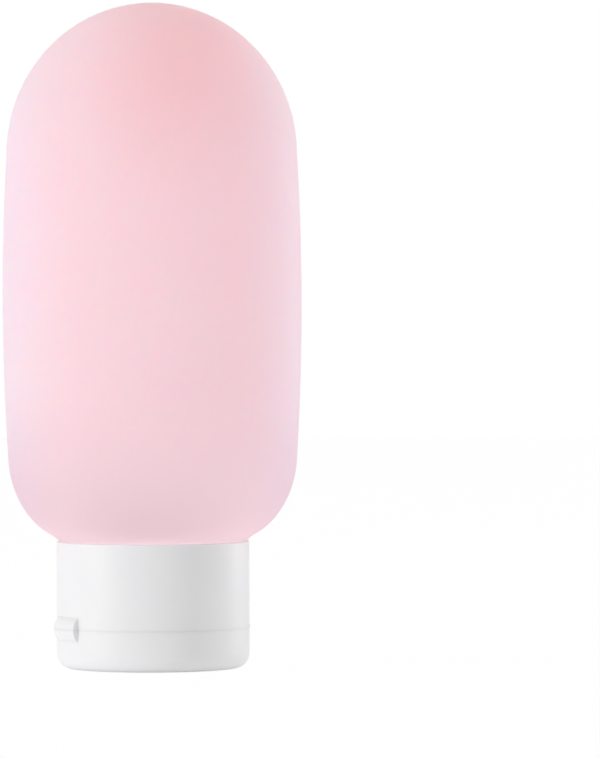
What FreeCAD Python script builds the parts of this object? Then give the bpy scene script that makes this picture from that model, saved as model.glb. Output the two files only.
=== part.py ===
# Travel squeeze bottle that stands on its flip-top closure, in millimetres.
# +Z runs up from the lid's flat outer face to the dome, +X across the wide side of the oval bottle.
# The closure is drawn with its thumb tab at -X and its living hinge at +X, then turned to where its
# thread stops.
import FreeCAD, Part
import math
import os
import re

import Sketcher

SIZES = {
    # bottle: oval barrel with a domed end, a shoulder and a round neck
    "overall_height": 111.8,
    "body_width": 50.2,
    "body_depth": 34.0,
    "body_wall": 1.9,
    "dome_height": 25.5,
    "side_arc_radius": 420.0,
    "widest_height": 62.0,
    "depth_taper_run": 45.0,
    "shoulder_reach": 11.8,
    "shoulder_height": 14.5,
    "shoulder_gap": 0.1,
    "neck_wall": 2.2,
    "neck_lead": 0.8,
    # screw thread, between the neck's outside and the skirt's bore
    "thread_room": 1.0,
    "thread_clearance": 0.3,
    "thread_pitch": 4.0,
    "thread_turns": 1.5,
    "thread_start": 2.15,
    "thread_root_width": 1.8,
    "thread_crest_width": 0.7,
    "thread_embed": 0.2,
    # closure base: skirt, deck, spout, snap ring and valve socket
    "closure_angle": 26.5,
    "cap_radius": 16.2,
    "cap_height": 21.7,
    "skirt_wall": 1.6,
    "skirt_edge_radius": 0.5,
    "skirt_lead": 0.5,
    "deck_thickness": 1.5,
    "snap_ring_height": 2.1,
    "snap_ring_wall": 1.2,
    "spout_bore_radius": 5.2,
    "spout_wall": 1.3,
    "spout_height": 3.4,
    "socket_clearance": 1.4,
    "socket_wall": 1.0,
    "socket_bead": 0.35,
    "socket_bead_height": 0.6,
    # flip lid
    "lid_height": 6.9,
    "lid_wall": 1.6,
    "lid_floor": 1.5,
    "lid_edge_radius": 3.0,
    "lid_clearance": 0.3,
    "parting_gap": 0.15,
    "plug_clearance": 0.4,
    "plug_wall": 0.9,
    "plug_height": 3.3,
    "pin_radius": 1.2,
    "pin_height": 3.8,
    # thumb tab, half of it on the lid and half on the closure base
    "tab_angle": 25.0,
    "tab_height": 2.1,
    "tab_proud": 0.95,
    "tab_bulge_radius": 2.4,
    "tab_root": 0.5,
    "nail_gap": 0.3,
    # living hinge in a flat recess
    "hinge_recess_depth": 1.0,
    "hinge_recess_width": 11.6,
    "hinge_recess_on_lid": 2.2,
    "hinge_recess_on_base": 4.2,
    "film_width": 10.0,
    "film_leg_height": 1.4,
    "film_leg_thickness": 0.4,
    "film_radius": 0.55,
    "film_groove_radius": 0.25,
    # sealing washer, slit valve and its retaining ring
    "washer_thickness": 1.2,
    "washer_clearance": 0.4,
    "washer_inset": 0.3,
    "valve_flange_thickness": 1.2,
    "valve_flange_clearance": 0.2,
    "valve_clearance": 0.3,
    "valve_sleeve_wall": 0.6,
    "valve_reach": 3.15,
    "valve_rim": 1.3,
    "valve_dish": 0.6,
    "valve_head_inner_dish": 0.1,
    "slit_length": 6.0,
    "slit_width": 0.2,
    "retainer_clearance": 0.1,
    "retainer_width": 3.2,
    "retainer_height": 1.4,
    "bead_clearance": 0.05,
    # how far a cut runs past the face that it opens
    "cut_overrun": 1.0,
}

# Places and sizes that follow from the ones above.
PLACES = {
    "ledge_z": "lid_height + parting_gap",
    "deck_z": "ledge_z + deck_thickness",
    "neck_rim_z": "deck_z + washer_thickness",
    "skirt_bore_radius": "cap_radius - skirt_wall",
    "lid_bore_radius": "cap_radius - lid_wall",
    "snap_ring_radius": "lid_bore_radius - lid_clearance",
    "neck_radius": "skirt_bore_radius - thread_room",
    "neck_bore_radius": "neck_radius - neck_wall",
    "thread_height": "thread_room - thread_clearance",
    "thread_z": "neck_rim_z + thread_start",
    "washer_outer_radius": "neck_radius - washer_inset",
    "socket_outer_radius": "neck_bore_radius - socket_clearance",
    "socket_radius": "socket_outer_radius - socket_wall",
    "retainer_bore_radius": "socket_radius - retainer_width",
    "bead_z": "deck_z + valve_flange_thickness + retainer_height + bead_clearance",
    "hinge_x": "cap_radius - hinge_recess_depth",
    "hinge_z": "lid_height + parting_gap / 2",
    "valve_radius": "spout_bore_radius - valve_clearance",
    "valve_sleeve_radius": "valve_radius - valve_sleeve_wall",
    "valve_face_z": "deck_z - valve_reach",
    "dome_z": "overall_height - dome_height",
    "taper_z": "overall_height - depth_taper_run",
    "shoulder_z": "cap_height + shoulder_gap + shoulder_height",
    "shoulder_half_width": "body_width / 2 - (shoulder_z - widest_height) ^ 2 / (2 * side_arc_radius)",
    "dome_half_width": "body_width / 2 - (dome_z - widest_height) ^ 2 / (2 * side_arc_radius)",
    "shoulder_centre": "shoulder_half_width - shoulder_reach",
    "shoulder_turn": "acos((neck_radius - shoulder_centre) / shoulder_reach)",
    "depth_reach": "(body_depth / 2 - neck_radius) / (1 - cos(shoulder_turn))",
    "depth_centre": "body_depth / 2 - depth_reach",
}

# Where the oval sections stand: round the shoulder, up the barrel and over the dome.
outer_shoulder_shares = (0.82, 0.65, 0.47, 0.3, 0.12)
inner_shoulder_shares = (0.8, 0.65, 0.47, 0.3, 0.12)
barrel_shares = (0.12, 0.5, 0.88)
dome_shares = (0.06, 0.22, 0.38, 0.54, 0.68, 0.8, 0.9, 0.97)

doc = FreeCAD.newDocument("travel_bottle")
sheet = doc.addObject("Spreadsheet::Sheet", "dims")
for row, (alias, number) in enumerate(SIZES.items(), start=1):
    sheet.set(f"A{row}", alias)
    sheet.set(f"B{row}", str(number))
    sheet.setAlias(f"B{row}", alias)
doc.recompute()


def tie(text):
    """The expression for a size written in the names above."""
    def expand(match):
        word = match.group(0)
        if word in PLACES:
            return f"({tie(PLACES[word])})"
        return f"dims.{word}" if word in SIZES else word
    return re.sub(r"[a-z_]+", expand, str(text))


def value(text):
    """The present number behind such a size."""
    found = sheet.evalExpression(tie(text))
    return float(getattr(found, "Value", found))


def bind(feature, **sizes):
    """Ties a feature's properties to sizes; a double underscore stands for the dot in a name."""
    for prop, text in sizes.items():
        feature.setExpression(prop.replace("__", "."), tie(text))


def arc_between(start, end, radius, side):
    """The minor arc from start to end, bulging to the right of the way for side +1, to the left for -1."""
    chord = end - start
    rise = math.sqrt(radius ** 2 - (chord.Length / 2) ** 2)
    leftward = FreeCAD.Vector(-chord.y, chord.x, 0).normalize()
    centre = (start + end) * 0.5 + leftward * rise * side
    first, last = (start, end) if side > 0 else (end, start)
    angles = [math.atan2(point.y - centre.y, point.x - centre.x) for point in (first, last)]
    return Part.ArcOfCircle(Part.Circle(centre, FreeCAD.Vector(0, 0, 1), radius), *angles)


def profile(body, name, plane, corners):
    """A closed sketch through corners (across, up), each tied to the sheet.

    A corner with two more entries starts an arc of that radius to the next corner, on that side.
    """
    sketch = body.newObject("Sketcher::SketchObject", name)
    origin_plane = next(item for item in body.Origin.OriginFeatures if item.Role == plane)
    sketch.AttachmentSupport = [(origin_plane, "")]
    sketch.MapMode = "FlatFace"
    points = [FreeCAD.Vector(value(corner[0]), value(corner[1]), 0) for corner in corners]
    starts = []
    ends = []
    for index, corner in enumerate(corners):
        start, end = points[index], points[(index + 1) % len(points)]
        if len(corner) == 2:
            edge = sketch.addGeometry(Part.LineSegment(start, end), False)
            forward = True
        else:
            radius, side = corner[2:]
            edge = sketch.addGeometry(arc_between(start, end, value(radius), side), False)
            forward = side > 0
            rule = sketch.addConstraint(Sketcher.Constraint("Radius", edge, value(radius)))
            sketch.setExpression(f"Constraints[{rule}]", tie(radius))
        starts.append((edge, 1 if forward else 2))
        ends.append((edge, 2 if forward else 1))
    for index, corner in enumerate(corners):
        edge, end = starts[index]
        sketch.addConstraint(Sketcher.Constraint("Coincident", *ends[index - 1], edge, end))
        for kind, axis, text in (("DistanceX", -2, corner[0]), ("DistanceY", -1, corner[1])):
            if text == "0":
                sketch.addConstraint(Sketcher.Constraint("PointOnObject", edge, end, axis))
                continue
            rule = sketch.addConstraint(Sketcher.Constraint(kind, -1, 1, edge, end, value(text)))
            sketch.setExpression(f"Constraints[{rule}]", tie(text))
    doc.recompute()
    return sketch


def turn(body, name, corners):
    """A solid of revolution about the bottle's axis."""
    sketch = profile(body, f"{name}_profile", "XZ_Plane", corners)
    revolution = body.newObject("PartDesign::Revolution", name)
    revolution.Profile = sketch
    revolution.ReferenceAxis = (sketch, ["V_Axis"])
    doc.recompute()
    return revolution


def sector(body, name, corners, angle):
    """A part turn about the bottle's axis, half of it each side of the sketch."""
    revolution = turn(body, name, corners)
    revolution.Midplane = True
    bind(revolution, Angle=angle)
    doc.recompute()


def slot(body, name, corners, width):
    """A straight cut across the body, half of its width each side of the XZ plane."""
    before = body.Shape.Volume
    pocket = body.newObject("PartDesign::Pocket", name)
    pocket.Profile = profile(body, f"{name}_profile", "XZ_Plane", corners)
    pocket.SideType = "Symmetric"
    bind(pocket, Length=width)
    doc.recompute()
    if body.Shape.Volume >= before:
        raise RuntimeError(f"{name} cuts nothing")


def screw_thread(body, name, root, crest, start):
    """A right-hand ridge that winds up from height start, between the radii root and crest."""
    before = 0 if body.Shape.isNull() else body.Shape.Volume
    section = profile(body, f"{name}_section", "XZ_Plane", [
        (root, f"{start} - thread_root_width / 2"),
        (crest, f"{start} - thread_crest_width / 2"),
        (crest, f"{start} + thread_crest_width / 2"),
        (root, f"{start} + thread_root_width / 2"),
    ])
    ridge = body.newObject("PartDesign::AdditiveHelix", name)
    ridge.Profile = section
    ridge.ReferenceAxis = (section, ["V_Axis"])
    ridge.Mode = "pitch-height-angle"
    bind(ridge, Pitch="thread_pitch", Height="thread_pitch * thread_turns")
    body.Tip = ridge
    doc.recompute()
    if body.Shape.Volume <= before:
        raise RuntimeError(f"{name} adds nothing")


def stop_on_thread(body):
    """Turns a piece of the closure about the bottle's axis to where the thread stops."""
    body.Placement.Rotation = FreeCAD.Rotation(FreeCAD.Vector(0, 0, 1), value("closure_angle"))
    bind(body, Placement__Rotation__Angle="closure_angle * 1 deg")
    doc.recompute()


def oval(name, half_width, half_depth, height):
    """One oval section of the bottle."""
    ring = doc.addObject("Part::Ellipse", name)
    bind(ring, MajorRadius=half_width, MinorRadius=half_depth, Placement__Base__z=height)
    return ring


def barrel_depth(height, inset):
    """Half the bottle's depth: even up to the taper, then an ellipse's quarter to the top."""
    climb = f"max(0; {height} - taper_z) / (depth_taper_run - {inset})"
    return f"(body_depth / 2 - {inset}) * sqrt(1 - ({climb}) ^ 2)"


def oval_loft(name, lowest_rings, shoulder_shares, inset):
    """A loft through its lowest rings, then ovals from shoulder to top, drawn in by inset."""
    rings = list(lowest_rings)
    for share in shoulder_shares:
        lean = f"({share} * shoulder_turn)"
        rings.append((f"shoulder_centre + (shoulder_reach - {inset}) * cos{lean}",
                      f"depth_centre + (depth_reach - {inset}) * cos{lean}",
                      f"shoulder_z - (shoulder_height - {inset}) * sin{lean}"))
    for share in barrel_shares:
        height = f"(shoulder_z + {share} * (dome_z - shoulder_z))"
        swell = f"({height} - widest_height) ^ 2 / (2 * side_arc_radius)"
        rings.append((f"body_width / 2 - {swell} - {inset}", barrel_depth(height, inset), height))
    for share in dome_shares:
        lean = f"({share} * 90 deg)"
        height = f"(dome_z + (dome_height - {inset}) * sin{lean})"
        rings.append((f"(dome_half_width - {inset}) * cos{lean}", barrel_depth(height, inset), height))
    loft = doc.addObject("Part::Loft", name)
    loft.Sections = [oval(f"{name}_oval_{index}", *ring) for index, ring in enumerate(rings)]
    loft.Solid = True
    return loft, rings[0][2]


def make_bottle_body():
    """Soft one-piece bottle: oval shell, domed end, shoulder and open neck."""
    neck_ring = ("neck_radius", "neck_radius", "shoulder_z - shoulder_height * sin(shoulder_turn)")
    outside, neck_top = oval_loft("bottle_outside", [neck_ring], outer_shoulder_shares, "0")
    inside, cavity_floor = oval_loft("bottle_inside", [], inner_shoulder_shares, "body_wall")
    neck = doc.addObject("Part::Cylinder", "neck")
    bind(neck, Radius="neck_radius", Height=f"{neck_top} - neck_rim_z - neck_lead",
         Placement__Base__z="neck_rim_z + neck_lead")
    lead = doc.addObject("Part::Cone", "neck_lead")
    bind(lead, Radius1="neck_radius - neck_lead", Radius2="neck_radius", Height="neck_lead",
         Placement__Base__z="neck_rim_z")
    bore = doc.addObject("Part::Cylinder", "neck_bore")
    bind(bore, Radius="neck_bore_radius", Height=f"{cavity_floor} - neck_rim_z + 2 * cut_overrun",
         Placement__Base__z="neck_rim_z - cut_overrun")
    ridge = doc.addObject("PartDesign::Body", "neck_ridge")
    screw_thread(ridge, "neck_thread", "neck_radius - thread_embed", "neck_radius + thread_height", "thread_z")
    filled = doc.addObject("Part::MultiFuse", "bottle_filled")
    filled.Shapes = [outside, neck, lead, ridge]
    filled.Refine = True
    hollow = doc.addObject("Part::MultiFuse", "bottle_hollow")
    hollow.Shapes = [inside, bore]
    bottle = doc.addObject("Part::Cut", "bottle_body")
    bottle.Base = filled
    bottle.Tool = hollow
    doc.recompute()
    return bottle


def make_sealing_washer():
    """Flat gasket between the neck's rim and the closure's deck."""
    washer = doc.addObject("PartDesign::Body", "sealing_washer")
    bore = "socket_outer_radius + washer_clearance"
    turn(washer, "gasket", [
        (bore, "deck_z"),
        ("washer_outer_radius", "deck_z"),
        ("washer_outer_radius", "neck_rim_z"),
        (bore, "neck_rim_z"),
    ])
    return washer


def tab_half(body, name, face, outward):
    """Half of the thumb tab, from the parting face at height face, towards outward +1 up or -1 down."""
    peak = f"{face} + {outward} * nail_gap"
    root = f"{face} + {outward} * tab_height"
    sector(body, name, [
        ("-cap_radius + tab_root", face),
        ("-cap_radius", face),
        ("-cap_radius - tab_proud", peak, "tab_bulge_radius", -outward),
        ("-cap_radius", root),
        ("-cap_radius + tab_root", root),
    ], "tab_angle")


def make_closure_base():
    """Screw skirt with its deck, spout, snap ring, valve socket and upper half of the thumb tab."""
    base = doc.addObject("PartDesign::Body", "closure_base")
    spout_radius = "spout_bore_radius + spout_wall"
    spout_end = "ledge_z - spout_height"
    ring_bore = "snap_ring_radius - snap_ring_wall"
    ring_end = "ledge_z - snap_ring_height"
    socket_top = "bead_z + socket_bead_height"
    turn(base, "skirt_and_deck", [
        ("cap_radius", "ledge_z"),
        ("cap_radius", "cap_height - skirt_edge_radius", "skirt_edge_radius", 1),
        ("cap_radius - skirt_edge_radius", "cap_height"),
        ("skirt_bore_radius + skirt_lead", "cap_height"),
        ("skirt_bore_radius", "cap_height - skirt_lead"),
        ("skirt_bore_radius", "deck_z"),
        ("socket_outer_radius", "deck_z"),
        ("socket_outer_radius", socket_top),
        ("socket_radius", socket_top),
        ("socket_radius - socket_bead", "bead_z"),
        ("socket_radius", "bead_z"),
        ("socket_radius", "deck_z"),
        ("spout_bore_radius", "deck_z"),
        ("spout_bore_radius", spout_end),
        (spout_radius, spout_end),
        (spout_radius, "ledge_z"),
        (ring_bore, "ledge_z"),
        (ring_bore, ring_end),
        ("snap_ring_radius", ring_end),
        ("snap_ring_radius", "ledge_z"),
    ])
    screw_thread(base, "skirt_thread", "skirt_bore_radius + thread_embed", "skirt_bore_radius - thread_height",
                 "thread_z + thread_pitch / 2")
    tab_half(base, "tab_on_base", "ledge_z", 1)
    slot(base, "hinge_recess_base", [
        ("hinge_x", "ledge_z - cut_overrun"),
        ("cap_radius + cut_overrun", "ledge_z - cut_overrun"),
        ("cap_radius + cut_overrun", "ledge_z + hinge_recess_on_base"),
        ("hinge_x", "ledge_z + hinge_recess_on_base"),
    ], "hinge_recess_width")
    stop_on_thread(base)
    return base


def make_drip_valve():
    """Silicone slit valve: a flange on the deck, a thin sleeve in the spout and a dished, slit head."""
    valve = doc.addObject("PartDesign::Body", "drip_valve")
    flange_radius = "socket_radius - valve_flange_clearance"
    flange_top = "deck_z + valve_flange_thickness"
    head_top = "valve_face_z + valve_rim"
    turn(valve, "flange_sleeve_and_head", [
        ("valve_radius", "deck_z"),
        (flange_radius, "deck_z"),
        (flange_radius, flange_top),
        ("valve_sleeve_radius", flange_top),
        ("valve_sleeve_radius", head_top),
        ("0", f"{head_top} - valve_head_inner_dish"),
        ("0", "valve_face_z + valve_dish"),
        ("valve_radius", "valve_face_z"),
    ])
    whole = valve.Shape.Volume
    slit = valve.newObject("PartDesign::Pocket", "slit")
    slit.Profile = profile(valve, "slit_outline", "XY_Plane", [
        ("-slit_length / 2", "-slit_width / 2"),
        ("slit_length / 2", "-slit_width / 2"),
        ("slit_length / 2", "slit_width / 2"),
        ("-slit_length / 2", "slit_width / 2"),
    ])
    slit.Type = "ThroughAll"
    slit.Reversed = True
    doc.recompute()
    one_slit = valve.Shape.Volume
    cross = valve.newObject("PartDesign::PolarPattern", "slit_cross")
    cross.Originals = [slit]
    cross.Axis = (slit.Profile[0], ["N_Axis"])
    cross.Mode = "Spacing"
    cross.Offset = 90
    cross.Occurrences = 2
    valve.Tip = cross
    doc.recompute()
    if not whole > one_slit > valve.Shape.Volume:
        raise RuntimeError("the slits cut nothing")
    stop_on_thread(valve)
    return valve


def make_valve_retainer():
    """Snap ring that clamps the valve's flange in its socket."""
    retainer = doc.addObject("PartDesign::Body", "valve_retainer")
    foot = "deck_z + valve_flange_thickness"
    rim = "socket_radius - retainer_clearance"
    turn(retainer, "ring", [
        ("retainer_bore_radius", foot),
        (rim, foot),
        (rim, f"{foot} + retainer_height"),
        ("retainer_bore_radius", f"{foot} + retainer_height"),
    ])
    return retainer


def make_flip_lid():
    """Shallow lid with a sealing ring and centre pin for the spout, and the lower half of the thumb tab."""
    lid = doc.addObject("PartDesign::Body", "flip_lid")
    plug_radius = "spout_bore_radius - plug_clearance"
    plug_top = "lid_floor + plug_height"
    pin_top = "lid_floor + pin_height"
    turn(lid, "cup_and_plug", [
        ("0", "0"),
        ("cap_radius - lid_edge_radius", "0", "lid_edge_radius", 1),
        ("cap_radius", "lid_edge_radius"),
        ("cap_radius", "lid_height"),
        ("lid_bore_radius", "lid_height"),
        ("lid_bore_radius", "lid_floor"),
        (plug_radius, "lid_floor"),
        (plug_radius, plug_top),
        (f"{plug_radius} - plug_wall", plug_top),
        (f"{plug_radius} - plug_wall", "lid_floor"),
        ("pin_radius", "lid_floor"),
        ("pin_radius", pin_top),
        ("0", pin_top),
    ])
    tab_half(lid, "tab_on_lid", "lid_height", -1)
    slot(lid, "hinge_recess_lid", [
        ("hinge_x", "lid_height - hinge_recess_on_lid"),
        ("cap_radius + cut_overrun", "lid_height - hinge_recess_on_lid"),
        ("cap_radius + cut_overrun", "lid_height + cut_overrun"),
        ("hinge_x", "lid_height + cut_overrun"),
    ], "hinge_recess_width")
    stop_on_thread(lid)
    return lid


def make_living_hinge():
    """Film across the parting line: a leg on each recess floor and a half-round bend on the lid's axis."""
    hinge = doc.addObject("PartDesign::Body", "living_hinge")
    leg_face = "hinge_x + film_leg_thickness"
    bend_rise = "sqrt(film_radius ^ 2 - film_leg_thickness ^ 2)"
    film = hinge.newObject("PartDesign::Pad", "film")
    film.Profile = profile(hinge, "film_profile", "XZ_Plane", [
        ("hinge_x", "hinge_z - film_leg_height"),
        (leg_face, "hinge_z - film_leg_height"),
        (leg_face, f"hinge_z - {bend_rise}", "film_radius", 1),
        (leg_face, f"hinge_z + {bend_rise}"),
        (leg_face, "hinge_z + film_leg_height"),
        ("hinge_x", "hinge_z + film_leg_height"),
        ("hinge_x", "hinge_z + film_groove_radius", "film_groove_radius", -1),
        ("hinge_x + film_groove_radius", "hinge_z", "film_groove_radius", -1),
        ("hinge_x", "hinge_z - film_groove_radius"),
    ])
    film.SideType = "Symmetric"
    bind(film, Length="film_width")
    doc.recompute()
    stop_on_thread(hinge)
    return hinge


pieces = [
    make_bottle_body(),
    make_sealing_washer(),
    make_closure_base(),
    make_drip_valve(),
    make_valve_retainer(),
    make_flip_lid(),
    make_living_hinge(),
]
doc.recompute()

for item in doc.Objects:
    if {"Invalid", "Error"} & set(item.State):
        raise RuntimeError(f"{item.Label} failed: {item.State}")
for piece in pieces:
    if piece.Shape.isNull() or not piece.Shape.isValid() or len(piece.Shape.Solids) != 1:
        raise RuntimeError(f"{piece.Label} is not one valid solid")

os.makedirs("parts", exist_ok=True)
for piece in pieces:
    piece.Shape.exportStep(f"parts/{piece.Label}.step")
    box = piece.Shape.BoundBox
    print(f"{piece.Label}: {piece.Shape.Volume:.1f} mm3, z {box.ZMin:.2f} to {box.ZMax:.2f}")
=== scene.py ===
import math

import bmesh
import bpy
from mathutils import Matrix, Vector


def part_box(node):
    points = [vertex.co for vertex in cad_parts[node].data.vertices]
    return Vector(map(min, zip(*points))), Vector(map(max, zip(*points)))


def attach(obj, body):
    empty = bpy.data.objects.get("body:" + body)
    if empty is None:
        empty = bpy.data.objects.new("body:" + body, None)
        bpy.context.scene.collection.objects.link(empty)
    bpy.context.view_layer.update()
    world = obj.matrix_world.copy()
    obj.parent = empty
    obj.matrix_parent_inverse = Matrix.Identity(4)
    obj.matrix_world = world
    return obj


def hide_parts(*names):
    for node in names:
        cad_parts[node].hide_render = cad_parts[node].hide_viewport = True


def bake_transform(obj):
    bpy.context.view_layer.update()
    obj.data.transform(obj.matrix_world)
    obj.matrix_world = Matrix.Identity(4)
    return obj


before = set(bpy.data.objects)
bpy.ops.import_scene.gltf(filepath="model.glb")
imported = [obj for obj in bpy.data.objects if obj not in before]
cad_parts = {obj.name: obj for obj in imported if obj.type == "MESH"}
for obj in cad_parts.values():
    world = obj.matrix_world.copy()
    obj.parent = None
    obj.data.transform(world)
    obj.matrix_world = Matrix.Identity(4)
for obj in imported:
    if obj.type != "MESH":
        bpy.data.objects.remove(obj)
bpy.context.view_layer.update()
mm = 0.001

print("stage: frame loaded with", len(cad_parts), "nodes")


def hexColor(code):
    # sRGB hex to the linear colour that the shader sockets take
    parts = [int(code[i:i + 2], 16) / 255 for i in (1, 3, 5)]
    linear = [p / 12.92 if p <= 0.04045 else ((p + 0.055) / 1.055) ** 2.4 for p in parts]
    return (*linear, 1.0)


def addNode(tree, kind, links=None, **settings):
    # one node with its attributes, socket values (by number or name) and incoming links
    node = tree.nodes.new(kind)
    sockets = settings.pop("sockets", {})
    for key, setting in settings.items():
        setattr(node, key, setting)
    usable = {socket.name: socket for socket in reversed(node.inputs) if socket.enabled}
    for key, number in sockets.items():
        (node.inputs[key] if isinstance(key, int) else usable[key]).default_value = number
    for key, source in (links or {}).items():
        tree.links.new(source, node.inputs[key] if isinstance(key, int) else usable[key])
    return node


noiseLow, noiseHigh = 0.3, 0.7    # nearly all of a noise texture lies between these


def newMaterial(name):
    mat = bpy.data.materials.new(name)
    mat.use_nodes = True
    mat.node_tree.nodes.clear()
    out = addNode(mat.node_tree, "ShaderNodeOutputMaterial")
    return mat, mat.node_tree, out


# Silicone rubber, cast in a fine-blasted mould: a thin translucent wall round a hollow. Half of the light or
# more has crossed the hollow, so the sides are even and pale while the parts away from the light turn
# pinker;
# painted sheen makes the narrow sides paler still and painted shade deepens the pink on top of the dome.
siliconeLook = dict(
    color="#ffe5eb",
    domeShadeColor="#ffd2d3",    # painted shade: deeper pink where the top of the dome faces up, away from the side lamps, and where its wall is thicker
    domeShadePlace=(4 * mm, 0, 102 * mm),
    domeShadeReach=(19 * mm, 28 * mm),
    sideSheenColor="#f5e7f0",    # painted sheen: paler and cooler where the wall turns away at the narrow sides
    sideSheenThroughColor="#f5eef5",
    sideSheenReach=(13 * mm, 25 * mm),
    cloud=0.03,
    cloudSize=18 * mm,      # slow drift of the wall's thickness
    sheenColor="#dcd6ff",
    sheen=0.06,
    sheenRoughness=0.4,
    specular=0.15,
    roughness=0.52,
    ior=1.41,
    throughColor="#ffedf0",
    through=0.5,            # share of the light that crosses the wall
    shoulderThroughColor="#fff5f7",
    shoulderThrough=1.0,    # the wall thins out round the shoulder
    scatterRadius=(30 * mm, 8 * mm, 5 * mm),
    shoulderScatter=0.03,   # share of that radius left in the thin wall
    shoulderEnd=22 * mm,    # the shoulder's look turns into the barrel's between these heights
    barrelStart=50 * mm,
    innerHaze=(0.05, 0.1),  # how much the inner face shows
    frostSize=0.35 * mm,    # blasted skin, drawn coarser than the real 0.05 mm so that it shows
    frostBump=0.03,
    frostDepth=0.05 * mm,
)


def pinkSilicone():
    look = siliconeLook
    mat, tree, out = newMaterial("frostedPinkSilicone")
    coord = addNode(tree, "ShaderNodeTexCoord")
    place = addNode(tree, "ShaderNodeSeparateXYZ", {"Vector": coord.outputs["Object"]})
    # painted shade: a deeper pink in a ball round a point near the top of the dome, where it faces away from
    # the side lamps
    spread = (1 / look["domeShadeReach"][0], 0, 1 / look["domeShadeReach"][1])
    shift = [-at * share for at, share in zip(look["domeShadePlace"], spread)]
    domeShadePatch = addNode(tree, "ShaderNodeMapping", {"Vector": coord.outputs["Object"]},
                    sockets={"Location": shift, "Scale": spread})
    away = addNode(tree, "ShaderNodeVectorMath", {0: domeShadePatch.outputs["Vector"]}, operation="LENGTH")
    domeShadeMask = addNode(tree, "ShaderNodeMapRange", {"Value": away.outputs["Value"]},
                   interpolation_type="SMOOTHSTEP", sockets={"To Min": 1.0, "To Max": 0.0})
    tint = addNode(tree, "ShaderNodeMix", {"Factor": domeShadeMask.outputs["Result"]}, data_type="RGBA",
                   sockets={"A": hexColor(look["color"]), "B": hexColor(look["domeShadeColor"])})
    # painted sheen: the narrow sides are mixed towards a paler, cooler colour, in the skin and in the light
    # that crosses the wall
    outward = addNode(tree, "ShaderNodeMath", {0: place.outputs["X"]}, operation="ABSOLUTE")
    side = addNode(tree, "ShaderNodeMapRange", {"Value": outward.outputs["Value"]},
                   interpolation_type="SMOOTHSTEP",
                   sockets={"From Min": look["sideSheenReach"][0], "From Max": look["sideSheenReach"][1]})
    cloud = addNode(tree, "ShaderNodeTexNoise", {"Vector": coord.outputs["Object"]},
                    sockets={"Scale": 1 / look["cloudSize"], "Detail": 2.0, "Roughness": 0.4})
    drift = addNode(tree, "ShaderNodeMapRange", {"Value": cloud.outputs["Fac"]},
                    sockets={"From Min": noiseLow, "From Max": noiseHigh,
                             "To Min": 1 - look["cloud"], "To Max": 1.0})
    skinColor = addNode(tree, "ShaderNodeHueSaturation",
                        {"Color": tint.outputs[2], "Value": drift.outputs["Result"]})
    skinWithSideSheen = addNode(tree, "ShaderNodeMix",
                        {"Factor": side.outputs["Result"], "A": skinColor.outputs["Color"]},
                        data_type="RGBA", sockets={"B": hexColor(look["sideSheenColor"])})
    barrel = addNode(tree, "ShaderNodeMapRange", {"Value": place.outputs["Z"]},
                     interpolation_type="SMOOTHSTEP",
                     sockets={"From Min": look["shoulderEnd"], "From Max": look["barrelStart"]})
    depth = addNode(tree, "ShaderNodeMapRange", {"Value": barrel.outputs["Result"]},
                    sockets={"To Min": look["shoulderScatter"], "To Max": 1.0})
    share = addNode(tree, "ShaderNodeMapRange", {"Value": barrel.outputs["Result"]},
                    sockets={"To Min": look["shoulderThrough"], "To Max": look["through"]})
    throughTint = addNode(tree, "ShaderNodeMix", {"Factor": barrel.outputs["Result"]}, data_type="RGBA",
                          sockets={"A": hexColor(look["shoulderThroughColor"]),
                                   "B": hexColor(look["throughColor"])})
    throughWithSideSheen = addNode(tree, "ShaderNodeMix",
                           {"Factor": side.outputs["Result"], "A": throughTint.outputs[2]},
                           data_type="RGBA", sockets={"B": hexColor(look["sideSheenThroughColor"])})
    frost = addNode(tree, "ShaderNodeTexNoise", {"Vector": coord.outputs["Object"]},
                    sockets={"Scale": 1 / look["frostSize"], "Detail": 3.0})
    bump = addNode(tree, "ShaderNodeBump", {"Height": frost.outputs["Fac"]},
                   sockets={"Strength": look["frostBump"], "Distance": look["frostDepth"]})
    skin = addNode(tree, "ShaderNodeBsdfPrincipled",
                   {"Base Color": skinWithSideSheen.outputs[2], "Normal": bump.outputs["Normal"],
                    "Subsurface Scale": depth.outputs["Result"]},
                   subsurface_method="RANDOM_WALK",
                   sockets={"Roughness": look["roughness"], "IOR": look["ior"],
                            "Specular IOR Level": look["specular"], "Subsurface Weight": 1.0,
                            "Subsurface Radius": look["scatterRadius"],
                            "Sheen Weight": look["sheen"], "Sheen Roughness": look["sheenRoughness"],
                            "Sheen Tint": hexColor(look["sheenColor"])})
    across = addNode(tree, "ShaderNodeBsdfTranslucent",
                     {"Color": throughWithSideSheen.outputs[2], "Normal": bump.outputs["Normal"]})
    wall = addNode(tree, "ShaderNodeMixShader",
                   {0: share.outputs["Result"], 1: skin.outputs["BSDF"], 2: across.outputs["BSDF"]})
    tree.links.new(wall.outputs["Shader"], out.inputs["Surface"])
    return mat


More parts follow.
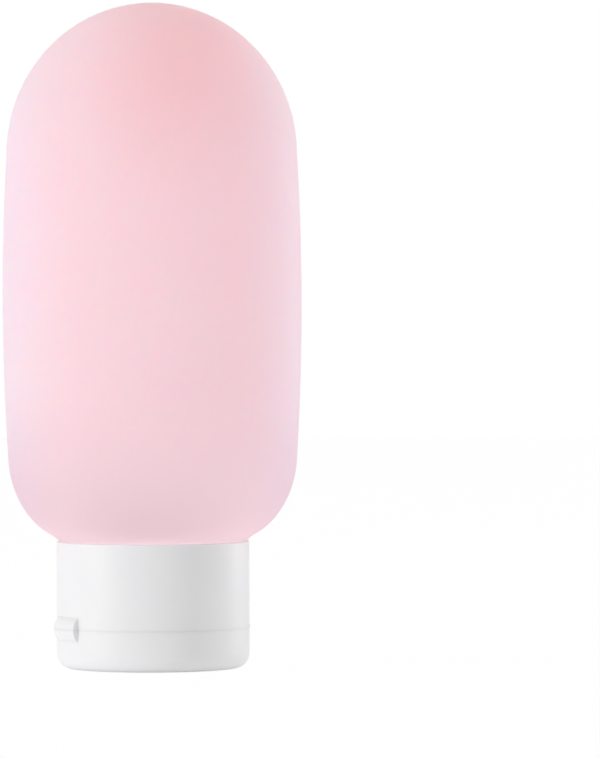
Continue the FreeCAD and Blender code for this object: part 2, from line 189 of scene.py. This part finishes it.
def siliconeInside():
    # the wall's inner face, which takes little from the light that the outer face has already coloured
    look = siliconeLook
    mat, tree, out = newMaterial("innerPinkSilicone")
    coord = addNode(tree, "ShaderNodeTexCoord")
    cloud = addNode(tree, "ShaderNodeTexNoise", {"Vector": coord.outputs["Object"]},
                    sockets={"Scale": 1 / look["cloudSize"], "Detail": 2.0})
    haze = addNode(tree, "ShaderNodeMapRange", {"Value": cloud.outputs["Fac"]},
                   sockets={"From Min": noiseLow, "From Max": noiseHigh,
                            "To Min": look["innerHaze"][0], "To Max": look["innerHaze"][1]})
    clear = addNode(tree, "ShaderNodeBsdfTransparent")
    skin = addNode(tree, "ShaderNodeBsdfPrincipled",
                   sockets={"Base Color": hexColor(look["color"]), "Roughness": look["roughness"],
                            "IOR": look["ior"]})
    wall = addNode(tree, "ShaderNodeMixShader",
                   {0: haze.outputs["Result"], 1: clear.outputs["BSDF"], 2: skin.outputs["BSDF"]})
    tree.links.new(wall.outputs["Shader"], out.inputs["Surface"])
    return mat


# Polypropylene, injection moulded against lightly eroded steel: opaque cool white, satin, with a fine grain.
polypropyleneLook = dict(
    color="#eaeaea",
    shadeColor="#e8e8ea",
    specular=0.3,
    roughness=0.48,
    ior=1.49,
    scatter=0.15,
    scatterRadius=(1.2 * mm, 1.2 * mm, 1.2 * mm),
    flowSize=6 * mm,        # faint flow clouds of the melt
    grainSize=0.3 * mm,     # eroded grain, drawn coarser than the real 0.08 mm so that it shows
    grainBump=0.04,
    grainDepth=0.05 * mm,
)


def whitePolypropylene():
    look = polypropyleneLook
    mat, tree, out = newMaterial("mouldedWhitePolypropylene")
    coord = addNode(tree, "ShaderNodeTexCoord")
    flow = addNode(tree, "ShaderNodeTexNoise", {"Vector": coord.outputs["Object"]},
                   sockets={"Scale": 1 / look["flowSize"], "Detail": 2.0})
    ramp = addNode(tree, "ShaderNodeValToRGB", {"Fac": flow.outputs["Fac"]})
    ramp.color_ramp.elements[0].position = noiseLow
    ramp.color_ramp.elements[0].color = hexColor(look["shadeColor"])
    ramp.color_ramp.elements[1].position = noiseHigh
    ramp.color_ramp.elements[1].color = hexColor(look["color"])
    grain = addNode(tree, "ShaderNodeTexNoise", {"Vector": coord.outputs["Object"]},
                    sockets={"Scale": 1 / look["grainSize"], "Detail": 2.0})
    bump = addNode(tree, "ShaderNodeBump", {"Height": grain.outputs["Fac"]},
                   sockets={"Strength": look["grainBump"], "Distance": look["grainDepth"]})
    skin = addNode(tree, "ShaderNodeBsdfPrincipled",
                   {"Base Color": ramp.outputs["Color"], "Normal": bump.outputs["Normal"]},
                   sockets={"Roughness": look["roughness"], "IOR": look["ior"],
                            "Specular IOR Level": look["specular"],
                            "Subsurface Weight": look["scatter"], "Subsurface Scale": 1.0,
                            "Subsurface Radius": look["scatterRadius"]})
    tree.links.new(skin.outputs["BSDF"], out.inputs["Surface"])
    return mat


# Clear silicone rubber, moulded: milky, soft and a little shiny.
clearSiliconeLook = dict(
    color="#e9e9e6",
    hazeColor="#dfe0df",
    roughness=0.3,
    ior=1.41,
    scatter=0.8,
    scatterRadius=(2.0 * mm, 2.0 * mm, 2.0 * mm),
    hazeSize=2 * mm,        # milky clouds in the rubber
)


def clearSilicone():
    look = clearSiliconeLook
    mat, tree, out = newMaterial("milkyClearSilicone")
    coord = addNode(tree, "ShaderNodeTexCoord")
    haze = addNode(tree, "ShaderNodeTexNoise", {"Vector": coord.outputs["Object"]},
                   sockets={"Scale": 1 / look["hazeSize"], "Detail": 2.0})
    ramp = addNode(tree, "ShaderNodeValToRGB", {"Fac": haze.outputs["Fac"]})
    ramp.color_ramp.elements[0].color = hexColor(look["hazeColor"])
    ramp.color_ramp.elements[1].color = hexColor(look["color"])
    skin = addNode(tree, "ShaderNodeBsdfPrincipled", {"Base Color": ramp.outputs["Color"]},
                   sockets={"Roughness": look["roughness"], "IOR": look["ior"],
                            "Subsurface Weight": look["scatter"], "Subsurface Scale": 1.0,
                            "Subsurface Radius": look["scatterRadius"]})
    tree.links.new(skin.outputs["BSDF"], out.inputs["Surface"])
    return mat


siliconeMat = pinkSilicone()
siliconeInsideMat = siliconeInside()
plasticMat = whitePolypropylene()
clearMat = clearSilicone()
print("stage: materials made")


creaseAngle = math.radians(40)    # faces that meet at more than this keep a sharp edge


def finishPiece(bm, name, mat, sharpAngle=creaseAngle):
    # the bmesh becomes an object at the origin with smooth faces and creased edges
    mesh = bpy.data.meshes.new(name)
    bm.to_mesh(mesh)
    bm.free()
    mesh.shade_smooth()
    mesh.set_sharp_from_angle(angle=sharpAngle)
    mesh.materials.append(mat)
    obj = bpy.data.objects.new(name, mesh)
    bpy.context.scene.collection.objects.link(obj)
    return obj


def addPiece(obj, body, replaced=None):
    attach(obj, body)
    if replaced:
        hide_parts(replaced)
    return obj


def bevelEdges(obj, width, segments=2):
    mod = obj.modifiers.new("softEdges", "BEVEL")
    mod.width = width
    mod.segments = segments
    mod.limit_method = "ANGLE"
    mod.angle_limit = creaseAngle
    mod.harden_normals = True


# The soft bottle: ovals from the dome over the barrel and shoulder to the neck, and the same again inside.
bottleLow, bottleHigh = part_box("bottle_body")
bottle = dict(
    top=bottleHigh.z,
    halfWidth=bottleHigh.x,
    halfDepth=bottleHigh.y,
    rim=bottleLow.z,
    wall=1.9 * mm,
    domeHeight=25.5 * mm,
    sideArc=420 * mm,       # radius of the swelling sides
    widest=62 * mm,
    taperRun=45 * mm,       # length over which front and back close in on the top
    shoulder=36.3 * mm,
    shoulderReach=11.8 * mm,
    shoulderHeight=14.976 * mm,
    neckRadius=13.6 * mm,
    boreRadius=11.4 * mm,
    neckLead=0.8 * mm,
    footWidth=15.2 * mm, footDepth=15.7 * mm,
    footStart=(0.8, 0.15),  # where on the shoulder the foot begins to spread, at the sides and at the front
    innerLowest=0.8,        # the inside ends here on the shoulder
    crease=0.4 * mm,
    weld=0.01 * mm,
    sharpAngle=math.radians(60),
    segments=160,
    domeSteps=32,
    barrelSteps=24,
    shoulderSteps=20,
)


def swell(z):
    # half width of the barrel
    return bottle["halfWidth"] - (z - bottle["widest"]) ** 2 / (2 * bottle["sideArc"])


def depthAt(z, inset):
    # half depth of barrel and dome
    climb = max(0.0, z - bottle["top"] + bottle["taperRun"]) / (bottle["taperRun"] - inset)
    return (bottle["halfDepth"] - inset) * math.sqrt(max(0.0, 1 - climb ** 2))


def flare(share, start):
    # a smooth rise from 0 to 1 over the last of the shoulder, which spreads its foot over the cap's rim
    rise = max(0.0, (share - start) / (1 - start))
    return rise * rise * (3 - 2 * rise)


def bottleRings(inset, lowest):
    # (half width, half depth, height) from the top down to a share of the way round the shoulder
    b = bottle
    dome = b["top"] - b["domeHeight"]
    centre = swell(b["shoulder"]) - b["shoulderReach"]
    lean = math.acos((b["neckRadius"] - centre) / b["shoulderReach"])
    depthReach = (b["halfDepth"] - b["neckRadius"]) / (1 - math.cos(lean))
    rings = []
    for step in range(b["domeSteps"]):
        angle = math.pi / 2 * (1 - step / b["domeSteps"])
        z = dome + (b["domeHeight"] - inset) * math.sin(angle)
        rings.append(((swell(dome) - inset) * math.cos(angle), depthAt(z, inset), z))
    for step in range(b["barrelSteps"]):
        z = dome + (b["shoulder"] - dome) * step / b["barrelSteps"]
        rings.append((swell(z) - inset, depthAt(z, inset), z))
    for step in range(b["shoulderSteps"] + 1):
        share = lowest * step / b["shoulderSteps"]
        angle = lean * share
        wider = flare(share, b["footStart"][0]) * (b["footWidth"] - b["neckRadius"])
        deeper = flare(share, b["footStart"][1]) * (b["footDepth"] - b["neckRadius"])
        rings.append((centre + (b["shoulderReach"] - inset) * math.cos(angle) + wider,
                      b["halfDepth"] - depthReach + (depthReach - inset) * math.cos(angle) + deeper,
                      b["shoulder"] - (b["shoulderHeight"] - inset) * math.sin(angle)))
    return rings


def ovalLoop(bm, halfWidth, halfDepth, z):
    verts = bmesh.ops.create_circle(bm, segments=bottle["segments"], radius=1.0)["verts"]
    bmesh.ops.scale(bm, vec=(halfWidth, halfDepth, 1.0), verts=verts)
    bmesh.ops.translate(bm, vec=(0, 0, z), verts=verts)
    return list({edge for vert in verts for edge in vert.link_edges})


def ovalSkin(name, rings, inward, mat):
    bm = bmesh.new()
    loops = [ovalLoop(bm, *ring) for ring in rings]
    for upper, lower in zip(loops, loops[1:]):
        bmesh.ops.bridge_loops(bm, edges=upper + lower)
    bmesh.ops.remove_doubles(bm, verts=bm.verts, dist=bottle["weld"])
    bmesh.ops.recalc_face_normals(bm, faces=bm.faces)
    outside = max(bm.faces, key=lambda face: face.calc_center_median().x).normal.x > 0
    if outside == inward:
        bmesh.ops.reverse_faces(bm, faces=bm.faces)
    return addPiece(finishPiece(bm, name, mat, bottle["sharpAngle"]), "bottle")


def makeBottle():
    b = bottle
    neck, bore, lead, crease = b["neckRadius"], b["boreRadius"], b["neckLead"], b["crease"]
    outer = bottleRings(0.0, 1.0)
    seat = outer[-1][2]
    inner = bottleRings(b["wall"], b["innerLowest"])
    lip = b["rim"] + lead
    floor = inner[-1][2]
    rimMiddle = (neck - lead + bore) / 2
    outside = [(neck + crease, seat), (neck, seat - crease), (neck, lip + crease), (neck - crease / 4, lip),
               (neck - lead, b["rim"]), (rimMiddle, b["rim"])]
    inside = [(rimMiddle, b["rim"]), (bore + crease, b["rim"]), (bore, b["rim"] + crease),
              (bore, floor - 2 * crease), (bore + crease, floor)]
    skin = ovalSkin("softBottle", outer + [(radius, radius, z) for radius, z in outside], False, siliconeMat)
    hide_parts("bottle_body")
    ovalSkin("softBottleInside", [(radius, radius, z) for radius, z in inside] + inner[::-1], True,
             siliconeInsideMat)


makeBottle()
print("stage: bottle made")


straight = math.radians(170)      # a corner flatter than this stays as it is
ownShare, evenShare = 0.85, 0.45  # share of an edge that an arc may take up, with its own radius or without


def rounded(corners, radius, steps=3):
    # an outline (radius, height) with an arc at every corner that turns; a third entry sets its own radius
    points = []
    for index, corner in enumerate(corners):
        here = Vector(corner[:2])
        ahead = Vector(corners[(index + 1) % len(corners)][:2]) - here
        behind = Vector(corners[index - 1][:2]) - here
        opening = behind.angle(ahead)
        reach = corner[2] if len(corner) > 2 else radius
        if reach == 0 or opening > straight:
            points.append(here)
            continue
        limit = ownShare if len(corner) > 2 else evenShare
        cut = min(reach / math.tan(opening / 2), limit * ahead.length, limit * behind.length)
        for step in range(steps + 1):
            share = step / steps
            start, end = here + behind.normalized() * cut, here + ahead.normalized() * cut
            points.append(start * (1 - share) ** 2 + here * 2 * share * (1 - share) + end * share ** 2)
    return points


def spinOutline(points, segments, closed):
    # a turned piece about the bottle's axis
    bm = bmesh.new()
    verts = [bm.verts.new((point.x, 0, point.y)) for point in points]
    pairs = list(zip(verts, verts[1:])) + ([(verts[-1], verts[0])] if closed else [])
    edges = [bm.edges.new(pair) for pair in pairs]
    bmesh.ops.spin(bm, geom=verts + edges, cent=(0, 0, 0), axis=(0, 0, 1), angle=2 * math.pi, steps=segments,
                   use_merge=True, use_duplicate=False)
    bmesh.ops.remove_doubles(bm, verts=bm.verts, dist=closure["weld"])
    return bm


# The closure's sizes: skirt with deck, spout and snap ring, and the flip lid that covers them.
baseLow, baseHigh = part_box("closure_base")
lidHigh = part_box("flip_lid")[1]
rimDrop = 0.33 * mm         # the rim sits this much lower than on the solid, under the bottle's foot
ledgeGap = 0.15 * mm        # room between the lid and the deck inside the wall
closure = dict(
    turn=math.radians(26.5),
    radius=16.2 * mm,
    top=baseHigh.z - rimDrop,
    ledge=lidHigh.z + ledgeGap,
    lidTop=lidHigh.z,
    seam=0.003 * mm,        # the lid shuts so tight that its parting line hardly shows
    wall=1.6 * mm,
    deck=1.5 * mm,
    rimRound=0.25 * mm,
    edgeRound=0.12 * mm,
    sharpRound=0.003 * mm,
    snapRadius=14.3 * mm, snapWall=1.2 * mm, snapHeight=2.1 * mm, snapBead=0.18 * mm,
    spoutBore=5.2 * mm, spoutWall=1.3 * mm, spoutEnd=baseLow.z, spoutRound=0.52 * mm,
    socketRadius=9.0 * mm, socketWall=1.0 * mm, socketRise=3.25 * mm,
    socketBead=0.35 * mm, beadRise=2.65 * mm, beadRound=0.03 * mm,
    lidRound=3.0 * mm, lidFloor=1.5 * mm, lidSteps=6,
    plugClearance=0.4 * mm, plugWall=0.9 * mm, plugHeight=3.3 * mm,
    pinRadius=1.2 * mm, pinHeight=3.8 * mm,
    gateRadius=1.5 * mm, gateFloor=1.2 * mm, gateDepth=0.2 * mm,
    tabHalf=math.radians(12.5), tabEnd=math.radians(0.5), tabHeight=2.1 * mm, tabProud=0.95 * mm,
    tabBulge=2.4 * mm, nailGap=0.006 * mm, tabSteps=7,
    recessDepth=1.0 * mm, recessOnBase=4.2 * mm, recessOnLid=2.2 * mm, recessStep=0.05 * mm,
    weld=0.002 * mm,
    segments=180,
)


def tabOutline():
    # the thumb tab's half outline: (distance from the parting face, how far it stands proud)
    c = closure
    start, end = Vector((c["nailGap"], c["tabProud"])), Vector((c["tabHeight"], 0))
    chord = end - start
    middle = (start + end) / 2
    inward = Vector((-abs(chord.y), -chord.x)).normalized()
    centre = middle + inward * math.sqrt(c["tabBulge"] ** 2 - (chord.length / 2) ** 2)
    points = [(0.0, 0.0)]
    for step in range(c["tabSteps"] + 1):
        spoke = start.lerp(end, step / c["tabSteps"]) - centre
        point = centre + spoke.normalized() * c["tabBulge"]
        points.append((point.x, max(0.0, point.y)))
    return points


def shapeWall(bm, face, side):
    # raises the thumb tab at -X and flattens the hinge recess at +X on a turned wall
    c = closure
    for angle in (c["tabHalf"], c["tabHalf"] + c["tabEnd"], -c["tabHalf"], -c["tabHalf"] - c["tabEnd"]):
        bmesh.ops.bisect_plane(bm, geom=bm.verts[:] + bm.edges[:] + bm.faces[:], dist=c["weld"],
                               plane_co=(0, 0, 0), plane_no=(math.sin(angle), math.cos(angle), 0))
    hingeX = c["radius"] - c["recessDepth"]
    chordHalf = math.sqrt(c["radius"] ** 2 - hingeX ** 2)
    for y in (chordHalf, -chordHalf):
        bmesh.ops.bisect_plane(bm, geom=bm.verts[:] + bm.edges[:] + bm.faces[:], dist=c["weld"],
                               plane_co=(0, y, 0), plane_no=(0, 1, 0))
    proud = {round(away / c["weld"]): height for away, height in tabOutline()}
    recess = c["recessOnBase"] if side > 0 else c["recessOnLid"]
    for vert in bm.verts:
        away = (vert.co.z - face) * side
        if vert.co.x > hingeX and away < recess + c["weld"]:
            vert.co.x = hingeX
        spread = abs(math.atan2(vert.co.y, -vert.co.x))
        onWall = abs(vert.co.xy.length - c["radius"]) < c["weld"]
        height = proud.get(round(away / c["weld"]), 0.0)
        if onWall and spread < c["tabHalf"] + c["tabEnd"] / 2:
            vert.co.xy *= 1 + height / c["radius"]


def wallHeights(face, side, recess):
    # heights of the rings that the tab and the recess need on the outer wall, from the face outwards
    c = closure
    marks = [away for away, _ in tabOutline()[1:]] + [recess, recess + c["recessStep"]]
    return [face + side * away for away in sorted(marks)]


def turnClosure(bm):
    bmesh.ops.recalc_face_normals(bm, faces=bm.faces)
    bmesh.ops.rotate(bm, verts=bm.verts, cent=(0, 0, 0), matrix=Matrix.Rotation(closure["turn"], 3, "Z"))
    return bm


def makeClosureBase():
    c = closure
    radius, ledge, top = c["radius"], c["ledge"], c["top"]
    deck = ledge + c["deck"]
    bore = radius - c["wall"]
    socketOuter = c["socketRadius"] + c["socketWall"]
    ringEnd = ledge - c["snapHeight"]
    spoutOuter = c["spoutBore"] + c["spoutWall"]
    bead = c["snapBead"]
    face = c["lidTop"] + c["seam"]
    rings = [(radius, z, 0) for z in wallHeights(face, 1, c["recessOnBase"])]
    outline = rounded([(radius, face, 0)] + rings + [
        (radius, top, c["rimRound"]),
        (bore, top, c["rimRound"]),
        (bore, deck),
        (socketOuter, deck),
        (socketOuter, deck + c["socketRise"]),
        (c["socketRadius"], deck + c["socketRise"]),
        (c["socketRadius"] - c["socketBead"], deck + c["beadRise"], c["beadRound"]),
        (c["socketRadius"], deck + c["beadRise"], c["beadRound"]),
        (c["socketRadius"], deck),
        (c["spoutBore"], deck),
        (c["spoutBore"], c["spoutEnd"], c["spoutRound"]),
        (spoutOuter, c["spoutEnd"], c["spoutRound"]),
        (spoutOuter, ledge),
        (c["snapRadius"] - c["snapWall"], ledge),
        (c["snapRadius"] - c["snapWall"], ringEnd, 3 * c["edgeRound"]),
        (c["snapRadius"], ringEnd, 3 * c["edgeRound"]),
        (c["snapRadius"], ringEnd + 3 * bead, 0),
        (c["snapRadius"] + bead, ringEnd + 4.5 * bead),
        (c["snapRadius"], ringEnd + 6 * bead, 0),
        (c["snapRadius"], ledge),
    ], c["edgeRound"])
    bm = spinOutline(outline, c["segments"], True)
    shapeWall(bm, face, 1)
    obj = finishPiece(turnClosure(bm), "closureBase", plasticMat)
    bevelEdges(obj, c["sharpRound"])
    addPiece(obj, "closure", "closure_base")


def makeFlipLid():
    c = closure
    radius, face, floor = c["radius"], c["lidTop"], c["lidFloor"]
    bore = radius - c["wall"]
    plug = c["spoutBore"] - c["plugClearance"]
    plugIn = plug - c["plugWall"]
    rings = [(radius, z, 0) for z in wallHeights(face, -1, c["recessOnLid"])][::-1]
    corners = [
        (0, c["gateDepth"], 0),
        (c["gateFloor"], c["gateDepth"]),
        (c["gateRadius"], 0),
        (radius, 0, c["lidRound"]),
    ] + rings + [
        (radius, face, 0),
        (bore, face),
        (bore, floor, 4 * c["edgeRound"]),
        (plug, floor, 2 * c["edgeRound"]),
        (plug, floor + c["plugHeight"], 3 * c["edgeRound"]),
        (plugIn, floor + c["plugHeight"]),
        (plugIn, floor, 2 * c["edgeRound"]),
        (c["pinRadius"], floor, 2 * c["edgeRound"]),
        (c["pinRadius"], floor + c["pinHeight"], 4 * c["edgeRound"]),
        (0, floor + c["pinHeight"], 0),
    ]
    bm = spinOutline(rounded(corners, c["edgeRound"], c["lidSteps"]), c["segments"], False)
    shapeWall(bm, face, -1)
    obj = finishPiece(turnClosure(bm), "flipLid", plasticMat)
    bevelEdges(obj, c["sharpRound"])
    addPiece(obj, "lid", "flip_lid")


makeClosureBase()
makeFlipLid()
print("stage: closure base and lid made")


# Screw threads: one and a half turns of a rounded ridge round the neck, and its partner inside the skirt.
skirtBore = closure["radius"] - closure["wall"]
ridgeSunk, ridgeHeight = 0.2 * mm, 0.7 * mm    # how far a ridge reaches into its wall, and out of it
thread = dict(
    pitch=4 * mm,
    turns=1.5,
    stepsPerTurn=72,
    neckStart=11.9 * mm,
    skirtRise=2.0 * mm,
    neckRoot=bottle["neckRadius"] - ridgeSunk,
    neckCrest=bottle["neckRadius"] + ridgeHeight,
    skirtRoot=skirtBore + ridgeSunk,
    skirtCrest=skirtBore - ridgeHeight,
    rootHalf=0.9 * mm,
    crestHalf=0.35 * mm,
)


def makeThread(name, root, crest, start, turn, mat, body):
    t = thread
    bm = bmesh.new()
    section = [(root, -t["rootHalf"]), (crest, -t["crestHalf"]),
               (crest, t["crestHalf"]), (root, t["rootHalf"])]
    verts = [bm.verts.new((point.x, 0, start + point.y)) for point in rounded(section, t["crestHalf"] / 2)]
    face = bm.faces.new(verts)
    steps = round(t["turns"] * t["stepsPerTurn"])
    bmesh.ops.duplicate(bm, geom=[face])    # stays behind as the ridge's lower end
    bmesh.ops.spin(bm, geom=[face], cent=(0, 0, 0), axis=(0, 0, 1), angle=2 * math.pi * t["turns"],
                   steps=steps, dvec=(0, 0, t["pitch"] * t["turns"] / steps),
                   use_merge=False, use_duplicate=False)
    bmesh.ops.remove_doubles(bm, verts=bm.verts, dist=closure["weld"])
    bmesh.ops.recalc_face_normals(bm, faces=bm.faces)
    bmesh.ops.rotate(bm, verts=bm.verts, cent=(0, 0, 0), matrix=Matrix.Rotation(turn, 3, "Z"))
    addPiece(finishPiece(bm, name, mat), body)


makeThread("neckThread", thread["neckRoot"], thread["neckCrest"], thread["neckStart"], 0.0, siliconeMat,
           "bottle")
makeThread("skirtThread", thread["skirtRoot"], thread["skirtCrest"],
           thread["neckStart"] + thread["skirtRise"], closure["turn"], plasticMat,
           "closure")
print("stage: threads made")


# The living hinge: a leg on each recess floor and a thin half-round bend on the lid's axis.
hinge = dict(
    x=closure["radius"] - closure["recessDepth"],
    z=(closure["ledge"] + closure["lidTop"]) / 2,
    half=5.0 * mm,
    legHeight=1.4 * mm,
    legThickness=0.4 * mm,
    bendRadius=0.55 * mm,
    grooveRadius=0.25 * mm,
    bendSteps=10,
    crossSteps=8,
)


def makeHinge():
    h = hinge
    rise = math.acos(h["legThickness"] / h["bendRadius"])
    outer = [(h["legThickness"], -h["legHeight"])]
    inner = [(0, -h["legHeight"])]
    for step in range(h["bendSteps"] + 1):
        sweep = 2 * step / h["bendSteps"] - 1
        outer.append((h["bendRadius"] * math.cos(rise * sweep), h["bendRadius"] * math.sin(rise * sweep)))
        angle = math.pi / 2 * sweep
        inner.append((h["grooveRadius"] * math.cos(angle), h["grooveRadius"] * math.sin(angle)))
    outer.append((h["legThickness"], h["legHeight"]))
    inner.append((0, h["legHeight"]))
    bm = bmesh.new()
    rows = []
    for side in (inner, outer):
        rows.append([bm.verts.new((h["x"] + x, -h["half"], h["z"] + z)) for x, z in side])
    faces = [bm.faces.new((a, b, d, c)) for a, b, c, d in zip(rows[0], rows[0][1:], rows[1], rows[1][1:])]
    for step in range(h["crossSteps"]):
        made = bmesh.ops.extrude_face_region(bm, geom=faces)["geom"]
        moved = [item for item in made if isinstance(item, bmesh.types.BMVert)]
        bmesh.ops.translate(bm, vec=(0, 2 * h["half"] / h["crossSteps"], 0), verts=moved)
        if step:
            bmesh.ops.delete(bm, geom=faces, context="FACES_ONLY")
        faces = [item for item in made if isinstance(item, bmesh.types.BMFace)]
    obj = finishPiece(turnClosure(bm), "livingHinge", plasticMat)
    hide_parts("living_hinge")
    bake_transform(obj)


makeHinge()
print("stage: hinge made")

for node, mat in (("valve_retainer", plasticMat), ("drip_valve", clearMat), ("sealing_washer", clearMat)):
    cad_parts[node].data.materials.clear()
    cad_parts[node].data.materials.append(mat)
print("stage: small pieces dressed")


# Studio: a pale floor, soft boxes at the left and right, and the photograph's view.
studio = dict(
    ambient=0.695,
    backdrop=1.0,           # white, as seen past the bottle and in its gloss
    lampSize=0.16, lampDistance=0.8, lampHeight=0.082,
    leftPower=2.1, leftAngle=math.radians(-67),
    rightPower=1.32, rightAngle=math.radians(117),
    floorColor="#f4f4f4",
    floorSize=3.0,
    floorDrop=0.1 * mm,     # keeps the floor off the lid's flat face
    floorSeen=0.08,         # share of the floor that the camera sees over the backdrop
    floorGlow=0.3,          # lifts the lit floor to the white of the backdrop; its shadow stays
    floorLift=0.19,         # a white plate with some light from below
)


def softBox(name, power, angle):
    # a square lamp at an angle from the front, positive to the right
    s = studio
    flat = Vector((math.sin(angle), -math.cos(angle), 0))
    place = flat * s["lampDistance"] + Vector((0, 0, s["lampHeight"]))
    lamp = bpy.data.lights.new(name, "AREA")
    lamp.shape = "SQUARE"
    lamp.size = s["lampSize"]
    lamp.energy = power
    obj = bpy.data.objects.new(name, lamp)
    obj.location = place
    aim = Vector((0, 0, bottle["top"] / 2)) - place
    obj.rotation_euler = aim.to_track_quat("-Z", "Y").to_euler()
    bpy.context.scene.collection.objects.link(obj)


def makeStudio():
    s = studio
    scene = bpy.context.scene
    scene.view_settings.view_transform = "Standard"
    world = bpy.data.worlds.new("paleStudio")
    world.use_nodes = True
    scene.world = world
    tree = world.node_tree
    tree.nodes.clear()
    path = addNode(tree, "ShaderNodeLightPath")
    seen = addNode(tree, "ShaderNodeMath",
                   {0: path.outputs["Is Camera Ray"], 1: path.outputs["Is Glossy Ray"]},
                   operation="MAXIMUM")
    seenAll = addNode(tree, "ShaderNodeMath", {0: seen.outputs[0], 1: path.outputs["Is Transmission Ray"]},
                      operation="MAXIMUM")
    white = hexColor("#ffffff")
    fill = addNode(tree, "ShaderNodeBackground", sockets={"Color": white, "Strength": s["ambient"]})
    back = addNode(tree, "ShaderNodeBackground", sockets={"Color": white, "Strength": s["backdrop"]})
    mix = addNode(tree, "ShaderNodeMixShader",
                  {0: seenAll.outputs[0], 1: fill.outputs[0], 2: back.outputs[0]})
    addNode(tree, "ShaderNodeOutputWorld", {"Surface": mix.outputs[0]})

    mat, tree, out = newMaterial("paleFloor")
    path = addNode(tree, "ShaderNodeLightPath")
    clear = addNode(tree, "ShaderNodeMath", {0: path.outputs["Is Camera Ray"]}, operation="MULTIPLY",
                    sockets={1: 1 - s["floorSeen"]})
    glow = addNode(tree, "ShaderNodeMapRange", {"Value": path.outputs["Is Camera Ray"]},
                   sockets={"To Min": s["floorLift"], "To Max": s["floorGlow"]})
    paint = addNode(tree, "ShaderNodeBsdfDiffuse", sockets={"Color": hexColor(s["floorColor"])})
    lift = addNode(tree, "ShaderNodeEmission", {"Strength": glow.outputs["Result"]})
    lit = addNode(tree, "ShaderNodeAddShader", {0: paint.outputs[0], 1: lift.outputs[0]})
    glass = addNode(tree, "ShaderNodeBsdfTransparent")
    both = addNode(tree, "ShaderNodeMixShader",
                   {0: clear.outputs[0], 1: lit.outputs[0], 2: glass.outputs[0]})
    tree.links.new(both.outputs[0], out.inputs["Surface"])
    bm = bmesh.new()
    bmesh.ops.create_grid(bm, x_segments=1, y_segments=1, size=s["floorSize"] / 2)
    bmesh.ops.translate(bm, vec=(0, 0, -s["floorDrop"]), verts=bm.verts)
    finishPiece(bm, "floor", mat)

    softBox("leftSoftBox", s["leftPower"], s["leftAngle"])
    softBox("rightSoftBox", s["rightPower"], s["rightAngle"])


# Where the photograph was taken from, and where the bottle stands in its 600 by 758 pixels.
view = dict(
    distance=1.2,
    height=70 * mm,
    pixelsPerMm=5.952,
    frameHeight=758,
    axisPixel=152.5,
    footPixel=667.8,
    centrePixel=(300, 379),
    roll=math.radians(0.15),
)


def makeCamera():
    v = view
    cam = bpy.data.cameras.new("photoCamera")
    seen = v["frameHeight"] / v["pixelsPerMm"] * mm
    cam.lens = cam.sensor_width / 2 / math.tan(math.atan(seen / 2 / v["distance"]))
    obj = bpy.data.objects.new("photoCamera", cam)
    place = Vector((0, -v["distance"], v["height"]))
    target = Vector(((v["centrePixel"][0] - v["axisPixel"]) / v["pixelsPerMm"] * mm, 0,
                     (v["footPixel"] - v["centrePixel"][1]) / v["pixelsPerMm"] * mm))
    turn = (target - place).to_track_quat("-Z", "Y").to_matrix()
    turn = turn @ Matrix.Rotation(-v["roll"], 3, "Z")
    obj.matrix_world = Matrix.Translation(place) @ turn.to_4x4()
    bpy.context.scene.collection.objects.link(obj)
    bpy.context.scene.camera = obj


makeStudio()
makeCamera()
print("stage: studio and camera set")
